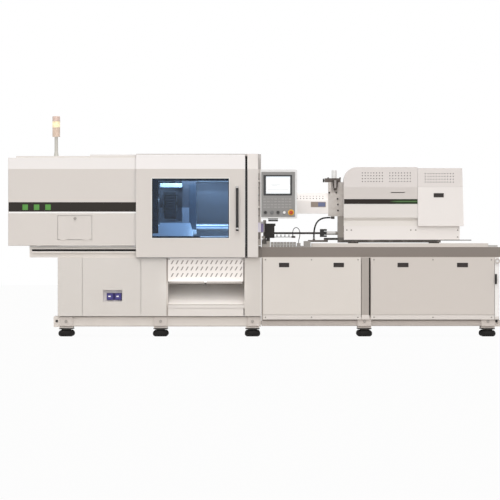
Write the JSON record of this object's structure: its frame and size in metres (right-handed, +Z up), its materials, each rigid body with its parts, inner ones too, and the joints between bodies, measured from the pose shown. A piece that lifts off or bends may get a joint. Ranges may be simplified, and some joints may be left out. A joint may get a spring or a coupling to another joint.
{
  "type": "injection moulding machine",
  "caption": "All-electric horizontal injection moulding machine with sliding guard doors, clamp platens on tie bars and a sliding injection unit.",
  "frame": {"origin": "on the floor under the middle of the whole machine's bounding box", "axes": "+X along the machine from the clamp to the injection unit, the operator stands at -Y, +Z up"},
  "size_m": [4.948, 1.494, 2.205],
  "materials": {
    "cover_paint": "fine-textured powder coat, warm grey-white",
    "panel_paint": "fine-textured powder coat, warm grey-white",
    "unit_paint": "smooth powder coat, near white",
    "frame_paint": "powder coat, mid grey",
    "bed_paint": "powder coat, dark warm grey",
    "dark_paint": "satin black paint",
    "cast_paint": "machined faces on painted cast iron",
    "machined_steel": "turned and ground",
    "hard_chrome": "hard chrome",
    "heater_metal": "mica band heater jackets",
    "bare_aluminium": "satin",
    "black_rubber": "moulded",
    "black_plastic": "moulded, light grain",
    "grey_plastic": "moulded",
    "window_glass": "clear sheet with a blue cast",
    "lamp_lens": "translucent lens",
    "screen_glass": "display behind glass",
    "socket_blue": "moulded",
    "button_black": "moulded",
    "button_white": "moulded",
    "button_red": "moulded"
  },
  "bodies": {
    "machine": {"clamp_frame": "frame_paint", "injection_frame": "frame_paint", "levelling_feet": "black_rubber", "clamp_bed": "panel_paint", "injection_bed": "bed_paint", "bed_rails": "machined_steel", "base_panels": "panel_paint", "vent_panel": "panel_paint", "chute": "bare_aluminium", "power_sockets": "panel_paint", "cover_front": "cover_paint", "cover_rear": "cover_paint", "cover_roof": "cover_paint", "cover_end": "cover_paint", "signal_post": "bare_aluminium", "signal_lamps": "lamp_lens", "guard_frame": "cover_paint", "door_tracks": "bare_aluminium", "fixed_platen": "cast_paint", "thrust_platen": "cast_paint", "tie_bars": "hard_chrome", "clamp_belt": "black_rubber", "clamp_motor": "dark_paint", "cabinet_panels": "panel_paint", "carriage_motor": "dark_paint", "cable_chain": "grey_plastic", "sensor_cable": "black_rubber"},
    "front_door": {"front_door": "cover_paint", "front_window": "window_glass", "front_handle": "black_plastic"},
    "rear_door": {"rear_door": "cover_paint", "rear_handle": "black_plastic"},
    "hatch": {"access_hatch": "cover_paint"},
    "hatch_lock": {"hatch_lock": "machined_steel"},
    "moving_platen": {"moving_platen": "cast_paint", "thrust_tube": "cast_paint"},
    "ejector": {"ejector": "machined_steel"},
    "clamp_screw": {"clamp_screw": "machined_steel"},
    "motor_pulley": {"motor_pulley": "bare_aluminium"},
    "carriage": {"carriage_base": "dark_paint", "barrel": "machined_steel", "heater_bands": "heater_metal", "barrel_cover": "unit_paint", "feed_block": "cast_paint", "coolant_hose": "black_rubber", "unit_cover_front": "unit_paint", "unit_cover_rear": "unit_paint", "unit_skirt": "unit_paint"},
    "hopper_shutter": {"hopper_shutter": "machined_steel"},
    "injection_drive": {"injection_drive": "cast_paint"},
    "injection_screw": {"injection_screw": "machined_steel"},
    "carriage_screw": {"carriage_screw": "machined_steel"},
    "hmi": {"hmi_case": "unit_paint", "hmi_screen": "screen_glass"},
    "left_button": {"left_button": "button_black"},
    "start_button": {"start_button": "button_black"},
    "stop_button": {"stop_button": "button_white"},
    "estop_button": {"estop_button": "button_red"},
    "selector_knob": {"selector_knob": "bare_aluminium"},
    "main_switch": {"main_switch": "black_plastic"}
  },
  "joints": [
    {"name": "front_door_slide", "type": "slide", "parent": "machine", "child": "front_door", "axis": [-1, 0, 0], "range_m": [0, 1]},
    {"name": "rear_door_slide", "type": "slide", "parent": "machine", "child": "rear_door", "axis": [-1, 0, 0], "range_m": [0, 1]},
    {"name": "hatch_hinge", "type": "hinge", "parent": "machine", "child": "hatch", "pos_m": [-1.8085, -0.567, 0.966], "axis": [-1, 0, 0], "range_deg": [-95, 0]},
    {"name": "hatch_lock_turn", "type": "hinge", "parent": "hatch", "child": "hatch_lock", "pos_m": [-1.806, -0.567, 1.18], "axis": [0, 1, 0], "range_deg": [0, 90]},
    {"name": "platen_slide", "type": "slide", "parent": "machine", "child": "moving_platen", "axis": [1, 0, 0], "range_m": [-0.35, 0.19]},
    {"name": "ejector_slide", "type": "slide", "parent": "moving_platen", "child": "ejector", "axis": [1, 0, 0], "range_m": [0, 0.08]},
    {"name": "clamp_screw_turn", "type": "hinge", "parent": "machine", "child": "clamp_screw", "pos_m": [-1.6, 0.033, 1.335], "axis": [1, 0, 0], "continuous": true},
    {"name": "motor_pulley_turn", "type": "hinge", "parent": "machine", "child": "motor_pulley", "pos_m": [-2.2, 0.493, 1.335], "axis": [1, 0, 0], "continuous": true},
    {"name": "carriage_slide", "type": "slide", "parent": "machine", "child": "carriage", "axis": [1, 0, 0], "range_m": [0, 0.3]},
    {"name": "carriage_screw_turn", "type": "hinge", "parent": "machine", "child": "carriage_screw", "pos_m": [0.5, -0.307, 1.034], "axis": [1, 0, 0], "continuous": true},
    {"name": "hopper_shutter_slide", "type": "slide", "parent": "carriage", "child": "hopper_shutter", "axis": [-1, 0, 0], "range_m": [0, 0.06]},
    {"name": "injection_slide", "type": "slide", "parent": "carriage", "child": "injection_drive", "axis": [1, 0, 0], "range_m": [0, 0.16]},
    {"name": "injection_screw_turn", "type": "hinge", "parent": "injection_drive", "child": "injection_screw", "pos_m": [0.6, 0.033, 1.335], "axis": [1, 0, 0], "continuous": true},
    {"name": "hmi_swing", "type": "hinge", "parent": "machine", "child": "hmi", "pos_m": [0.06, -0.639, 1.426], "axis": [0, 0, -1], "range_deg": [0, 90]},
    {"name": "left_button_push", "type": "slide", "parent": "hmi", "child": "left_button", "axis": [0, 1, 0], "range_m": [0, 0.004], "stiffness_N_per_m": 900},
    {"name": "start_button_push", "type": "slide", "parent": "hmi", "child": "start_button", "axis": [0, 1, 0], "range_m": [0, 0.004], "stiffness_N_per_m": 900},
    {"name": "stop_button_push", "type": "slide", "parent": "hmi", "child": "stop_button", "axis": [0, 1, 0], "range_m": [0, 0.004], "stiffness_N_per_m": 900},
    {"name": "estop_push", "type": "slide", "parent": "hmi", "child": "estop_button", "axis": [0, 1, 0], "range_m": [0, 0.005]},
    {"name": "selector_turn", "type": "hinge", "parent": "hmi", "child": "selector_knob", "pos_m": [0.162, -0.717, 1.24], "axis": [0, 1, 0], "range_deg": [-45, 45]},
    {"name": "main_switch_turn", "type": "hinge", "parent": "machine", "child": "main_switch", "pos_m": [2.403, -0.587, 0.575], "axis": [0, 1, 0], "range_deg": [0, 90]}
  ],
  "couplings": [
    {"joint": "clamp_screw_turn", "follows": "platen_slide", "rad_per_m": 157.08},
    {"joint": "motor_pulley_turn", "follows": "platen_slide", "rad_per_m": 314.16},
    {"joint": "carriage_screw_turn", "follows": "carriage_slide", "rad_per_m": 1256.6}
  ]
}
